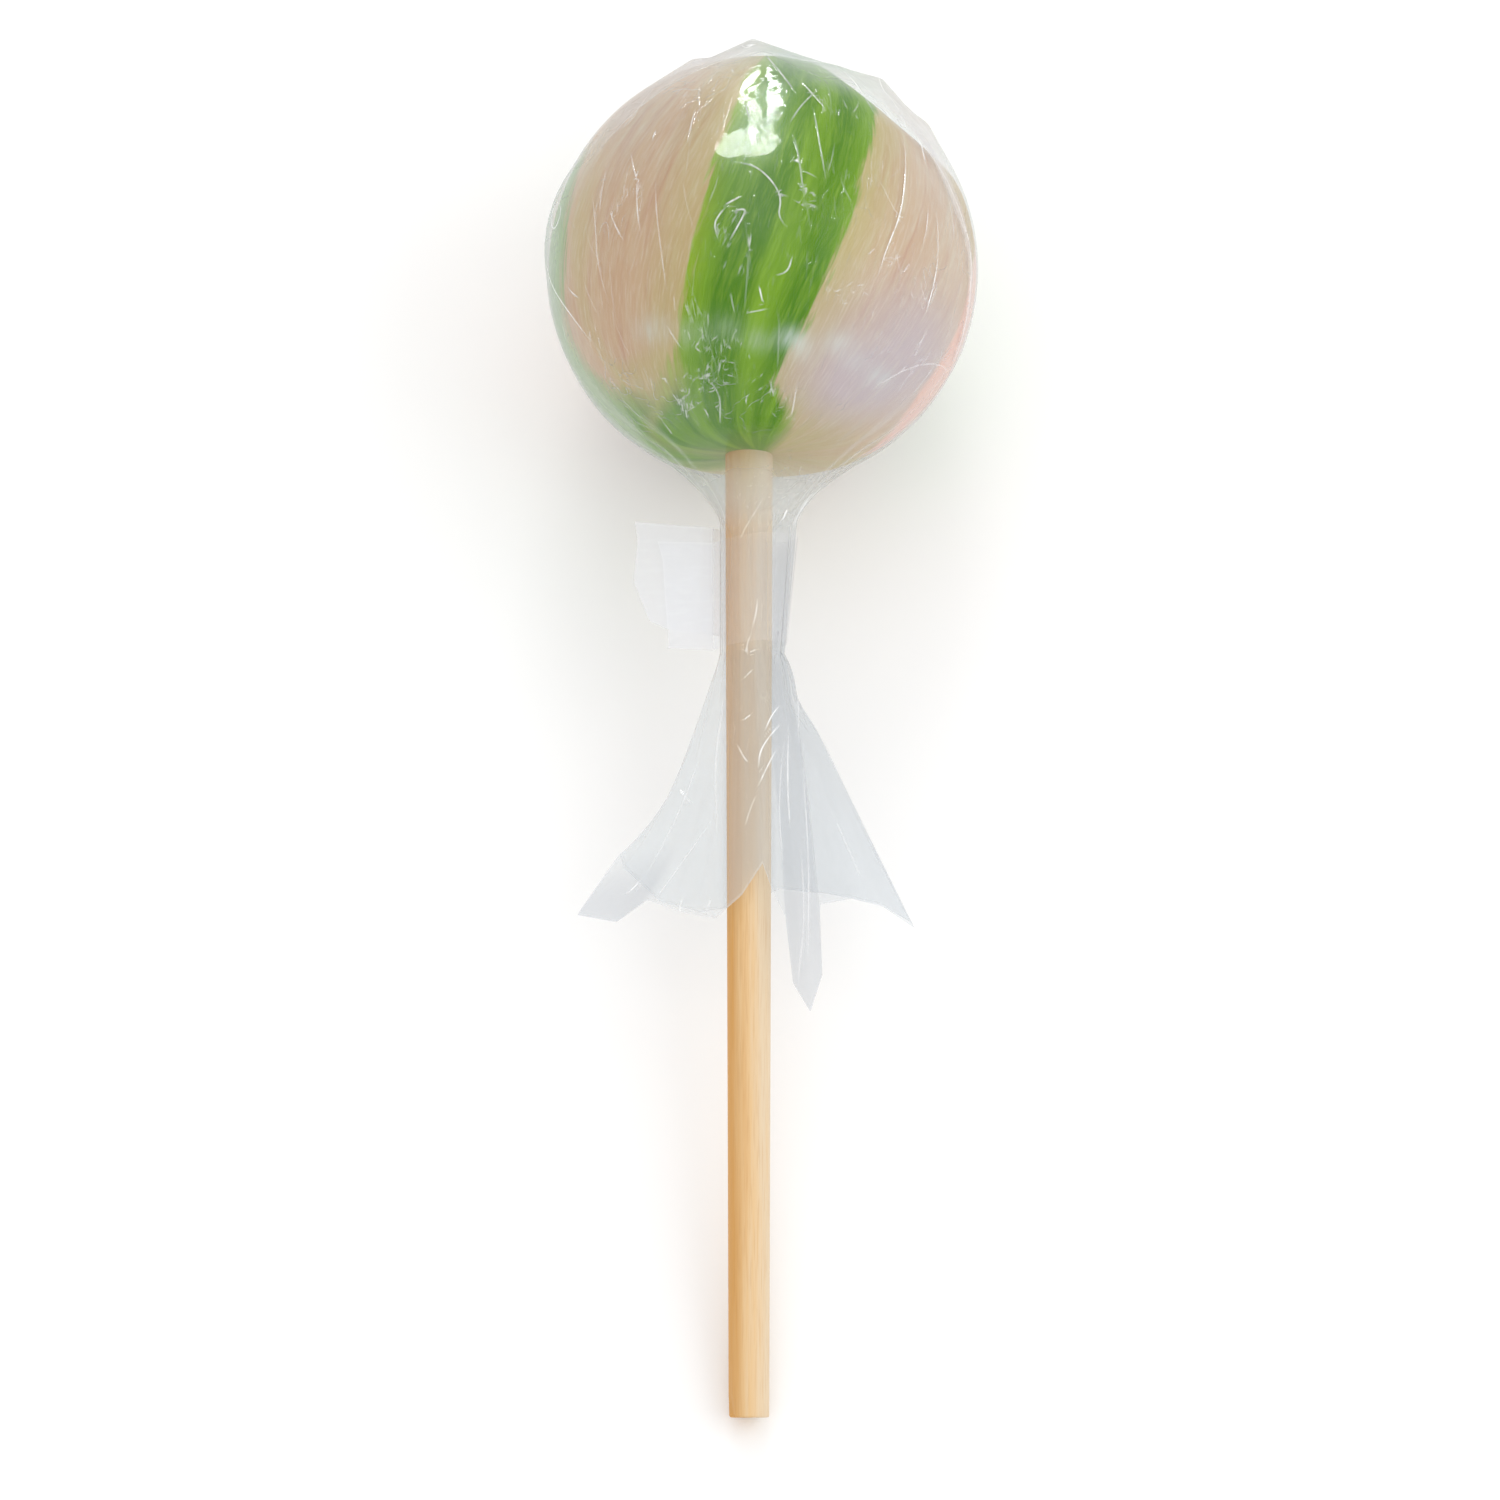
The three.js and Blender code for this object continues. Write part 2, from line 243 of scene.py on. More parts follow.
# Polypropylene film, blown thin and clear: each layer holds back a little light, shines softly,
# and turns milky where it creases, stands off or is scuffed. The thin white lines drawn on it are
# partly the milkiness of its creases and scuffs and partly painted glints.
def clearFilm():
    look = {
        "layer": "#F9FBFC",      # what one layer lets through
        "folded": "#DEE1E5",     # what several plies let through
        "milky": "#EAEDF0",
        # the white of the drawn lines, creases and painted glints alike
        "creaseAndGlint": "#FCFDFD",
        "creaseHalf": 0.14,      # mm
        "scuffWidth": 0.5,       # mm across; real scuffs are finer and wouldn't show
        "patchSize": 9.0,        # mm, the places where scuffs and wrinkles gather
        "wrinkleSpacing": 4.5,   # mm
    }
    material, add = newMaterial("blownPolypropyleneFilm")
    way = add("Attribute", output="Vector", attribute_name="way")
    haze, lively, plies, lineSide, lineGap, lineWhite = (
        add("Attribute", output="Fac", attribute_name=key)
        for key in ("haze", "lively", "plies", "lineSide", "lineGap", "lineWhite"))
    place = add("TexCoord", output="Object")
    scuff = add("TexNoise", {"Vector": way, "Scale": 1 / look["scuffWidth"], "Detail": 3.0,
                             "Roughness": 0.6, "Distortion": 0.5})
    patch = add("TexNoise", {"Vector": place, "Scale": 1000 / look["patchSize"]})
    fold = add("TexNoise", {"Vector": place, "Scale": 1000 / look["wrinkleSpacing"],
                            "Distortion": 0.8})

    # a line is drawn where its signed distance passes zero, not where two lines' halves meet; the lines are
    # creases and scuffs, some of them painted glints
    creaseAndGlint = add("Math", [lineSide], operation="ABSOLUTE")
    creaseAndGlint = add("MapRange", [creaseAndGlint, 0.03, look["creaseHalf"], 1.0, 0.0])
    for share in (add("MapRange", [lineGap, 0.4, 0.5, 1.0, 0.0]), lineWhite,
                  add("MapRange", [scuff, 0.3, 0.55, 0.35, 1.0])):
        creaseAndGlint = add("Math", [creaseAndGlint, share], operation="MULTIPLY")
    ridge = add("Math", [fold, 0.5], operation="SUBTRACT")
    ridge = add("Math", [ridge], operation="ABSOLUTE")
    ridge = add("MapRange", [ridge, 0.0, 0.02, 1.0, 0.0])
    for share in (add("MapRange", [patch, 0.52, 0.66]), lively):
        ridge = add("Math", [ridge, share], operation="MULTIPLY")
    swell = add("Math", [fold, lively], operation="MULTIPLY")
    height = add("Math", [swell, 1.1, ridge], operation="MULTIPLY_ADD")
    height = add("Math", [height, creaseAndGlint], operation="ADD")
    bump = add("Bump", {"Height": height, "Distance": 0.0001})
    scuffed = add("MapRange", [scuff, 0.60, 0.68])
    for share in (add("MapRange", [patch, 0.4, 0.6, 0.1, 1.0]), lively):
        scuffed = add("Math", [scuffed, share], operation="MULTIPLY")
    grazing = add("LayerWeight", {"Blend": 0.5, "Normal": bump}, output="Facing")
    milky = add("Math", [scuffed, 0.14, haze], operation="MULTIPLY_ADD")
    milky = add("Math", [ridge, 0.06, milky], operation="MULTIPLY_ADD")
    milky = add("Math", [milky, add("MapRange", [grazing, 0.5, 1.0, 0.0, 0.42])], operation="ADD")
    milky = add("Clamp", [milky, 0.0, 0.85])

    passed = add("Mix", {0: plies, 6: tone(look["layer"]), 7: tone(look["folded"])}, **asColour)
    clear = add("BsdfTransparent", {"Color": passed})
    gloss = add("BsdfGlossy", {"Roughness": 0.07, "Normal": bump})
    # both faces of the thin sheet shine alike, so the rise towards grazing is worked out from facing
    rise = add("Math", [grazing, 4.0], operation="POWER")
    shine = add("MixShader", [add("MapRange", [rise, 0.0, 1.0, 0.016, 0.5]), clear, gloss])
    front = add("BsdfDiffuse", {"Color": tone(look["milky"]), "Normal": bump})
    behind = add("BsdfTranslucent", {"Color": tone(look["milky"])})
    film = add("MixShader", [milky, shine, add("MixShader", [0.4, front, behind])])
    # the lines laid on in diffuse white: partly the milkiness of creases and scuffs, partly painted glints
    milkAndGlint = add("Math", [creaseAndGlint, 0.8], operation="MULTIPLY")
    film = add("MixShader", [milkAndGlint, film, add("BsdfDiffuse", {"Color": tone(look["creaseAndGlint"])})])
    add("OutputMaterial", {"Surface": film})
    return material


# Cast acetate tape: almost clear, faintly grey with its adhesive, flat and satin.
def clearTape():
    look = {
        "stuck": "#FDFDFE",      # what one ply lets through where it lies on the film
        "free": "#F9FAFC",       # and in the flag
        "alone": "#F4F5F8",      # and where it reaches past the flag's other ply
        "milky": "#F3F3F6",
        "glueSpacing": 0.9,      # mm, the faint lines of its adhesive
    }
    material, add = newMaterial("castAcetateTape")
    way = add("Attribute", output="Vector", attribute_name="way")
    haze, free, alone = (add("Attribute", output="Fac", attribute_name=key)
                         for key in ("haze", "free", "alone"))
    glue = add("TexNoise", {"Vector": way, "Scale": 1 / look["glueSpacing"]})
    passed = tone(look["stuck"])
    for share, colour in ((free, "free"), (alone, "alone")):
        passed = add("Mix", {0: share, 6: passed, 7: tone(look[colour])}, **asColour)
    clear = add("BsdfTransparent", {"Color": passed})
    bump = add("Bump", {"Height": glue, "Strength": 0.15, "Distance": 0.0001})
    gloss = add("BsdfGlossy", {"Roughness": 0.25, "Normal": bump})
    rise = add("Math", [add("LayerWeight", {"Blend": 0.5}, output="Facing"), 4.0], operation="POWER")
    shine = add("MixShader", [add("MapRange", [rise, 0.0, 1.0, 0.03, 0.4]), clear, gloss])
    milky = add("Math", [haze, add("MapRange", [glue, 0.5, 0.7, 0.0, 0.015])], operation="ADD")
    cloud = add("BsdfDiffuse", {"Color": tone(look["milky"])})
    tape = add("MixShader", [add("Clamp", [milky, 0.0, 0.8]), shine, cloud])
    add("OutputMaterial", {"Surface": tape})
    return material


# Birch, turned to a rod and tumbled smooth: pale, with short lengthwise pores and soft bands of
# warmer wood. Across the rod its colour runs from a warm painted shade on the left to a pale painted
# light on the right.
def turnedBirch():
    look = {
        "poreWidth": 0.16, "bandWidth": 1.6,    # mm across the grain
        # the warm colour is the wood under painted shade, on the rod's left; the pale one is the wood under
        # painted light, on its right
        "shadedWarm": "#CE974C", "wood": "#DBB682", "litPale": "#D8C2A2", "pore": "#B98547",
    }
    material, add = newMaterial("turnedBirch")
    way = add("Attribute", output="Vector", attribute_name="way")
    side = add("Attribute", output="Fac", attribute_name="side")
    pores = add("TexNoise", {"Vector": way, "Scale": 1 / look["poreWidth"]})
    bands = add("TexNoise", {"Vector": way, "Scale": 1 / look["bandWidth"], "Detail": 4.0, "Roughness": 0.6})
    # side, from 0 on the rod's left to 1 on its right, lays painted shade and light across it; the grain's
    # bands wander about it
    across = add("Math", [side, add("MapRange", [bands, 0.3, 0.7, -0.22, 0.22])], operation="ADD")
    wood = tone(look["shadedWarm"])
    for share, colour in ((add("MapRange", [across, 0.05, 0.5]), "wood"),
                          (add("MapRange", [across, 0.5, 0.85]), "litPale"),
                          (add("MapRange", [pores, 0.35, 0.5, 0.22, 0.0]), "pore")):
        wood = add("Mix", {0: share, 6: wood, 7: tone(look[colour])}, **asColour)
    bump = add("Bump", {"Height": pores, "Strength": 0.2, "Distance": 0.00005})
    skin = add("BsdfPrincipled", {"Base Color": wood, "Roughness": 0.55, "IOR": 1.5, "Normal": bump})
    add("OutputMaterial", {"Surface": skin})
    return material


print("materials")
sugarMaterial = boiledSugar()
filmMaterial = clearFilm()
tapeMaterial = clearTape()
birchMaterial = turnedBirch()

ball = {
    "radius": 24.98,
    "baseDistance": 22.65,      # ball's centre to the flattened base
    "sideDistance": 23.0,       # and to a dull flat on the upper right
    "sideFacing": [0.643, 0.740, 0.198],    # square to the dull flat
    "flatSharpness": 40,
    "ridgeHeight": 0.03, "ridgeSize": 7,
    "rows": 210, "around": 380,
    "twist": 0.36,              # how far the streaks turn round for each degree of latitude
    "streakStretch": 0.12,
    # degrees of longitude west of the top where the left band starts to fade to sage
    "sageFrom": {"lat": [-90, -62, -52, -40], "west": [115, 95, 66, 56]},
    "sageShare": 0.85,
    # how far the colours' edges wander
    "wander": {"lat": [-90, -60, -30, 90], "share": [0.0, 0.3, 1.0, 1.0]},
}

# The green bands' left and right edges in degrees of longitude, at latitudes from the stick's
# pole (-90) to the other; longitude 0 is uppermost and grows to the right.
greenBands = [
    {"lat": [-90, -66, -58, -53, -48, -43, -33, -17, 0, 15, 33, 48, 62, 90],
     "left": [-100, -98, -84, -60, -43, -35, -28, -21, -16, -13.5, -9, -6, -1, 5],
     "right": [20, 16, 14, 8.5, 4, 7, 12.5, 18.5, 24, 29, 39, 52, 68, 100]},
    {"lat": [-90, -58, -51, -47, -41, -33, -24, -14, 0, 10, 18, 26, 34, 42, 90],
     "left": [-150, -134, -130, -127, -124, -119, -112, -104, -97, -92, -88, -84, -79, -76, -70],
     "right": [-60, -64, -50, -57, -69, -74.5, -76, -72, -66, -66, -67, -69, -73, -84, -160]},
    {"lat": [-90, -60, -54, -40, -20, -5, 5, 30, 60, 90],
     "left": [150, 138, 132, 124, 114, 106, 104, 106, 108, 112],
     "right": [60, 128, 134, 142, 140, 134, 134, 138, 148, 160]},
    {"lat": [-90, -60, -30, 0, 30, 90], "left": [190, 190, 178, 172, 182, 200],
     "right": [100, 180, 206, 206, 222, 240]},
]
# Stripes of other colours in the sugar round the back, in the same way; a stripe has run out
# where its right edge lies left of its left edge.
backStripes = {
    "orange": {"lat": [-90, -30, -10, 14, 26, 34, 48, 60, 90],
               "left": [-118, -126, -124, -116, -106, -102, -96, -92, -88],
               "right": [-190, -134, -112, -94, -78, -70, -60, -54, -60]},
    "straw": {"lat": [-90, -8, -3, 2, 7, 17, 29, 38, 60, 90],
              "left": [90, 88, 80, 76, 73, 68, 67, 74, 84, 90],
              "right": [0, 78, 84, 90, 92, 93, 92, 92, 94, 98]},
    "salmon": {"lat": [-90, -62, -56, -48, -41, -30, -18, -7, 0, 8, 20, 40, 60, 90],
               "left": [124, 104, 89, 79, 75, 75, 76, 77, 81, 87, 93, 96, 97, 102],
               "right": [30, 104, 110, 110, 108, 106, 104, 102, 101, 100, 101, 102, 104, 108]},
}

# Soft clouds in the sugar: longitude, latitude, half width and half height in degrees, strength
mauveClouds = [(34, -46, 26, 15, 0.85), (62, -36, 30, 18, 0.8), (48, -22, 26, 10, 0.3),
               (62, 12, 34, 26, 0.1), (150, -20, 30, 24, 0.7), (-150, -35, 26, 20, 0.6)]
milkClouds = [(-36, -30, 7, 4, 0.45), (-24, -33, 5, 4, 0.25), (-12, -32, 7, 4, 0.2), (-1, -36, 5, 3, 0.3),
              (9, -35, 4, 3, 0.75), (14, -38, 4, 4, 0.4), (64, 14, 24, 30, 0.22), (26, -35, 6, 4, 0.45),
              (34, -40, 6, 3, 0.25), (47, -42, 6, 3, 0.5), (-40, 34, 26, 24, 0.2),
              (-15, 62, 30, 12, 0.2), (160, 10, 20, 8, 0.5), (-140, 20, 16, 9, 0.5)]


def acrossBand(longitude, latitude, band):
    # degrees of longitude inside the band's nearer edge, and from its left edge
    left = np.interp(latitude, band["lat"], band["left"])
    right = np.interp(latitude, band["lat"], band["right"])
    inside = (right - left) / 2 - np.abs(wrapDegrees(longitude - (left + right) / 2))
    return inside, wrapDegrees(longitude - left)


def bandDistance(longitude, latitude, mmPerDegree):
    # mm from the nearest green band's edge, positive inside it, and mm from its left edge
    deepest = np.full(longitude.shape, -farAway)
    fromLeft = np.full(longitude.shape, farAway)
    for band in greenBands:
        inside, across = acrossBand(longitude, latitude, band)
        fromLeft = np.where(inside > deepest, across, fromLeft)
        deepest = np.maximum(deepest, inside)
    return deepest * mmPerDegree, np.clip(fromLeft * mmPerDegree, -20, 20)


def candyReach(n):
    # smooth minimum of the ball's radius and of two planes', in the direction n
    p = ball["flatSharpness"]
    total = ball["radius"] ** -p
    for distance, facing in ((ball["baseDistance"], [0, -1, 0]), (ball["sideDistance"], ball["sideFacing"])):
        cosine = np.maximum(n @ np.array(facing), 0.05)
        total = total + (distance / cosine) ** -p
    return total ** (-1 / p)


def candyLooks(longitude, latitude):
    # a grid that turns with the twist, mm from each colour's edge and how much of each soft colour
    untwisted = np.radians(longitude - ball["twist"] * latitude)
    way = np.stack([ball["radius"] * np.sin(untwisted), ball["radius"] * np.cos(untwisted),
                    np.radians(latitude) * ball["radius"] * ball["streakStretch"]], -1)
    mmPerDegree = np.radians(1) * ball["radius"] * np.maximum(np.cos(np.radians(latitude)), 0.08)
    inBand, fromLeft = bandDistance(longitude, latitude, mmPerDegree)
    west = -wrapDegrees(longitude)
    fadesFrom, wander = ball["sageFrom"], ball["wander"]
    sage = smoothStep(0, 20, west - np.interp(latitude, fadesFrom["lat"], fadesFrom["west"]))
    sage = sage * smoothStep(124, 100, west)
    # the edges are softer in the sage, round the stick and most of all at the lower left
    lowLeft = smoothStep(-34, -48, latitude) * smoothStep(14, 34, west) * smoothStep(150, 110, west)
    inBand = inBand / (1 + 2.5 * sage + 1.5 * smoothStep(-43, -54, latitude) + 9 * lowLeft)
    calm = np.interp(latitude, wander["lat"], wander["share"]) * (1 - 0.85 * lowLeft)
    looks = {"way": way, "band": inBand, "fromLeft": fromLeft, "calm": calm,
             "sage": ball["sageShare"] * sage,
             "mauve": cloudsAt(longitude, latitude, mauveClouds),
             "milk": cloudsAt(longitude, latitude, milkClouds)}
    for colour, stripe in backStripes.items():
        looks[colour] = acrossBand(longitude, latitude, stripe)[0] * mmPerDegree
    return looks


def makeCandy():
    # latitude from the far pole down times longitude; the radius is candyReach with low ridges
    latitude = np.linspace(90, -90, ball["rows"] + 1)[1:-1, None]
    longitude = np.linspace(0, 360, ball["around"], endpoint=False)[None, :]
    latitude, longitude = np.broadcast_arrays(latitude, longitude)
    n = onSphere(longitude, latitude)
    reach = candyReach(n) + ball["ridgeHeight"] * ripple(n * rippleBall * [1, 0.3, 1], ball["ridgeSize"], 3)
    poles = [np.array(end) * candyReach(np.array(end)) for end in ([0.0, 1.0, 0.0], [0.0, -1.0, 0.0])]
    looks = candyLooks(longitude, latitude)
    piece = meshFromRings("candyBall", n * reach[..., None], sugarMaterial, looks, *poles, flip=True)
    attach(piece, "root")
    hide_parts("candy")


rod = {
    "length": 150.0, "headRadius": 2.88, "around": 96, "rows": 60,
    "headRings": [0.6, 1.6], "tipRings": [1.5, 0.7],    # radii of the rings that close its ends
    "edgeRound": 0.22,        # mm, the tip's worn rim
    "edgeTurns": [22, 45, 68, 90],
    "chip": 0.55,             # mm, a splinter gone from the rim
    "chipAt": -70, "chipHalf": 22,    # degrees round the rim, to the left
    "grainStretch": 0.035,
}


def makeStick():
    # a tapered circle carried along the stick, with a rounded rim and a slanting end
    turn = np.radians(np.concatenate([np.zeros(rod["rows"]), rod["edgeTurns"]]))
    share = np.concatenate([np.linspace(0, 1, rod["rows"]), np.ones(len(rod["edgeTurns"]))])
    radius = rod["headRadius"] + (lie["tipRadius"] - rod["headRadius"]) * share
    radius = radius - rod["edgeRound"] * (1 - np.cos(turn))
    radius = np.concatenate([rod["headRings"], radius, rod["tipRings"]])[:, None]
    share = np.concatenate([[0, 0], share, [1, 1]])[:, None]
    sink = rod["edgeRound"] * (1 - np.concatenate([[0, 0], np.sin(turn), [1, 1]]))[:, None]
    angle = np.linspace(0, 2 * np.pi, rod["around"], endpoint=False)[None, :]
    x, z = radius * np.sin(angle), radius * np.cos(angle)
    slant = z * math.tan(math.radians(lie["tipSlant"])) * share ** 9
    along = lie["stickReach"] - rod["length"] * (1 - share) + slant - np.where(share > 0.5, sink, 0)
    atChip = np.exp(-(wrapDegrees(np.degrees(angle) - rod["chipAt"]) / rod["chipHalf"]) ** 2)
    atChip = atChip * np.clip((along - lie["stickReach"] + rod["chip"]) / rod["chip"], 0, 1)
    x = x * (1 - 0.2 * atChip)
    along = along - 0.3 * atChip
    points = np.stack([x + lie["axisAcross"], -along, z], -1)
    # side is painted shade and light across the rod: 0 on its left, 1 on its right
    looks = {"way": np.stack([x, z, along * rod["grainStretch"]], -1),
             "side": np.broadcast_to(0.5 + 0.5 * np.sin(angle), x.shape)}
    poles = ([lie["axisAcross"], rod["length"] - lie["stickReach"], 0],
             [lie["axisAcross"], -lie["stickReach"], 0])
    piece = meshFromRings("woodenStick", points, birchMaterial, looks, *poles, flip=True)
    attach(piece, "root")
    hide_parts("stick")


sheet = {
    "touch": 25.15,           # mm, where the film lies on the ball
    "leave": 150.0,           # degrees from the far pole where it leaves the ball
    "headRows": 165, "funnelRows": 16, "neckRows": 22, "skirtRows": 64, "around": 360,
    "crowding": 0.35,         # columns stand closer together on the upper side, where creases show
    "swell": 0.03, "swellSize": 9.0, "dimple": 0.008, "dimpleSize": 3.0,
    "neckTop": 31.0, "neckBottom": 46.6, "neckRadius": 3.35,
    "bulgeTop": 1.95, "bulgeBottom": 0.65, "pleats": 13, "pleatDepth": 0.10, "bulgePleat": 0.18,
    "gatherFrom": 110, "gatherDepth": 0.07,
    "strokes": 120,           # fine pulled lines strewn over the ball
    # below the ball: how milky it is, and how much of several plies' tone it has; on the right that tone is
    # partly painted shade
    "milk": {"all": 0.08, "stick": 0.12, "taped": 0.1, "untaped": 0.12, "fan": 0.05, "funnel": 0.26,
             "hem": 0.25},
    "plies": {"pleat": 0.75, "tip": 0.8, "right": 0.45, "untaped": 0.6, "most": 0.8},
}

# The hem from the right round over the upper side: sixtieths of the way round the neck, then
# across, along and above the stick's axis in mm, and how late each line of the skirt flares out.
hem = np.array([
    [1, 13.9, 76.8, -0.2, 0.9], [3, 10.3, 76.1, 0.7, 0.8], [5, 6.6, 77.0, 1.6, 0.6],
    [6, 6.9, 85.6, 2.4, 0.5], [8, 5.5, 90.2, 3.2, 0.5], [10, 3.5, 86.9, 3.6, 0.6],
    [11, 2.6, 78.9, 3.8, 0.8], [12, 1.0, 75.6, 3.9, 1.1], [14, 0.0, 72.7, 4.0, 1.1],
    [17, -2.4, 76.5, 4.0, 1.4], [21, -5.4, 79.1, 3.4, 1.4], [24, -9.1, 78.1, 2.0, 1.4],
    [27, -13.3, 76.1, 0.2, 1.5], [29, -16.9, 78.4, -1.2, 1.6], [31, -21.5, 77.1, -2.9, 1.6],
    [33, -16.6, 69.2, -5.2, 1.5], [34, -16.1, 70.5, -6.6, 1.3], [37, -11.9, 74.6, -6.4, 1.4],
    [41, -7.3, 76.0, -5.8, 1.4], [45, -2.6, 75.4, -5.4, 1.4], [49, 2.0, 73.4, -5.2, 1.3],
    [53, 7.8, 74.1, -4.9, 1.2], [56, 13.6, 75.5, -4.2, 1.15], [58, 17.1, 77.8, -3.4, 1.1],
    [59, 17.6, 79.0, -1.6, 1.05],
])

# Folds of the taut film on the ball: height in mm of those that hold it off the ball, whiteness of
# those that show, and longitude and latitude of the points that each one runs through. Some of the
# short white lines of no height are painted glints.
filmFoldsAndGlints = [
    (1.8, 0, [(-16, 74), (-2, 76)]), (1.15, 0, [(-5, 59), (5, 58)]), (1.15, 0, [(66, 56), (69, 54)]),
    (0.6, 0, [(75, 41), (78, 38)]), (0.3, 0, [(69, 54), (75, 41)]), (0.35, 0, [(38, 61), (67, 56)]),
    (0.75, 0, [(-54, 65), (-47, 67)]), (0.75, 0, [(-75, 21), (-78, 14), (-81, 6), (-83, 0)]),
    (0.3, 0, [(58, 51), (53, 41), (50, 30)]), (0.45, 0, [(140, 62), (150, 20), (146, -20)]),
    (0.35, 0, [(-160, 58), (-150, 14), (-158, -30)]), (0.3, 0, [(180, 60), (-178, 10), (176, -40)]),
    (0.3, 0, [(110, 20), (118, -10), (112, -40)]), (0.3, 0, [(-118, 40), (-112, 6), (-120, -34)]),
    (0.3, 1.0, [(-83, 0), (-77, -8), (-67, -19), (-63, -27)]),
    (0.3, 0.4, [(-7, 68), (-27, 55), (-41, 41), (-49, 32), (-55, 24)]),
    (0.16, 0.3, [(-48, 48), (-44, 34), (-48, 30)]), (0.2, 0.8, [(0, 60), (17, 60), (38, 61)]),
    (0, 0.6, [(1, 57), (7, 49), (11, 39)]), (0.25, 0.5, [(42, 60), (37, 42), (38, 33)]),
    (0, 0.6, [(67, 56), (58, 51), (53, 41), (50, 30)]),
    (0.28, 0.7, [(50, 30), (60, 21), (66, 9), (72, 0), (76, -15), (82, -25), (87, -31)]),
    (0.16, 0.4, [(45, -46), (53, -39), (65, -33), (89, -30)]),
    (0.2, 0.4, [(-53, -52), (-57, -64), (-87, -72)]),
    (0, 1.0, [(46, 25), (42, 12), (39, 1), (35, -8), (33, -17)]), (0, 0.5, [(20, 41), (12, 33), (8, 26)]),
    (0, 0.5, [(-30, 10), (-29, 0), (-28, -11), (-28, -20)]), (0, 0.7, [(-40, 20), (-37, 13), (-34, 8)]),
    (0, 0.4, [(-53, 11), (-50, 1), (-50, -9), (-49, -20)]), (0, 0.5, [(-49, 17), (-49, 10), (-49, 5)]),
    (0, 0.5, [(16, 32), (16, 20), (17, 9)]), (0, 0.4, [(9, 21), (10, 13), (11, 2)]),
    (0, 0.9, [(-12, -8), (-13, -4), (-11, -1), (-10, 0)]), (0, 0.9, [(-10, 1), (-8, 2), (-6, 3)]),
    (0, 0.9, [(-8, -1), (-4, 0), (-6, -4), (-9, -9)]), (0, 0.7, [(-3, -7), (-4, -13)]),
    (0, 0.8, [(-7, 13), (-2, 12), (3, 7), (5, 2), (4, -2), (6, -5)]),
    (0, 0.8, [(4, -18), (7, -17), (8, -13)]), (0, 1.0, [(-1, -21), (0, -25)]),
    (0, 0.6, [(-5, -28), (1, -27)]), (0, 0.5, [(-22, -44), (-17, -52), (-27, -65)]),
    (0, 1.0, [(-74, 14), (-70, 11), (-73, 6), (-77, 8), (-77, 13), (-74, 14)]),
    (0, 1.0, [(-12.6, 50.4), (-12.0, 49.2)]), (0, 1.0, [(-33.2, 26), (-33.6, 23.6)]),
    (0, 1.0, [(8.2, 13.2), (10.4, 14.2)]), (0, 1.0, [(8.4, 13.8), (10.0, 13.4)]),
    (0, 1.0, [(-24, 71), (-12, 74), (-2, 74)]), (0, 1.0, [(-52, 66), (-47, 68)]),
    (0, 0.9, [(30, 70), (44, 66)]), (0, 1.0, [(-17, 69.4), (-6, 70)]), (0, 1.0, [(-16, 70.3), (-5, 70.9)]),
    (0, 0.9, [(-13, 68.6), (-8, 69)]), (0, 0.7, [(-64, 58), (-40, 66), (-20, 72)]),
    (0, 0.7, [(10, 73), (40, 66), (67, 56)]),
]

# Patches of short scuffs on the ball: longitude, latitude, lean of the scuffs from the meridian
# and how much it varies in degrees, how many, milkiness
scuffs = [(9, 6, -62, 9, 9, 0.5), (-8, -12, 24, 9, 7, 0.35), (35, -10, 50, 9, 7, 0.4),
          (-21, -27, 0, 9, 9, 0.4), (-18, -36, 8, 20, 10, 0.5), (-34, -52, 20, 20, 10, 0.5),
          (50, -18, -30, 9, 6, 0.3), (-20, -46, 35, 60, 16, 0.5), (-12, -38, 0, 70, 14, 0.5),
          (-30, -47, 0, 70, 14, 0.45), (22, 34, 6, 9, 8, 0.35), (-26, 40, 10, 9, 7, 0.3),
          (-40, 6, 4, 9, 6, 0.35), (60, -32, 14, 20, 8, 0.3), (-5, -50, 4, 30, 8, 0.4),
          (12, -60, -10, 30, 8, 0.3), (-64, -30, 25, 9, 6, 0.3), (30, 12, 8, 9, 7, 0.25),
          (28, -22, 40, 50, 10, 0.35), (42, -30, 20, 50, 8, 0.3), (0, 20, 10, 30, 8, 0.35),
          (140, 10, 20, 9, 9, 0.4), (-150, -20, -15, 9, 9, 0.4), (180, 40, 30, 9, 9, 0.4),
          (100, -30, 10, 9, 9, 0.4)]
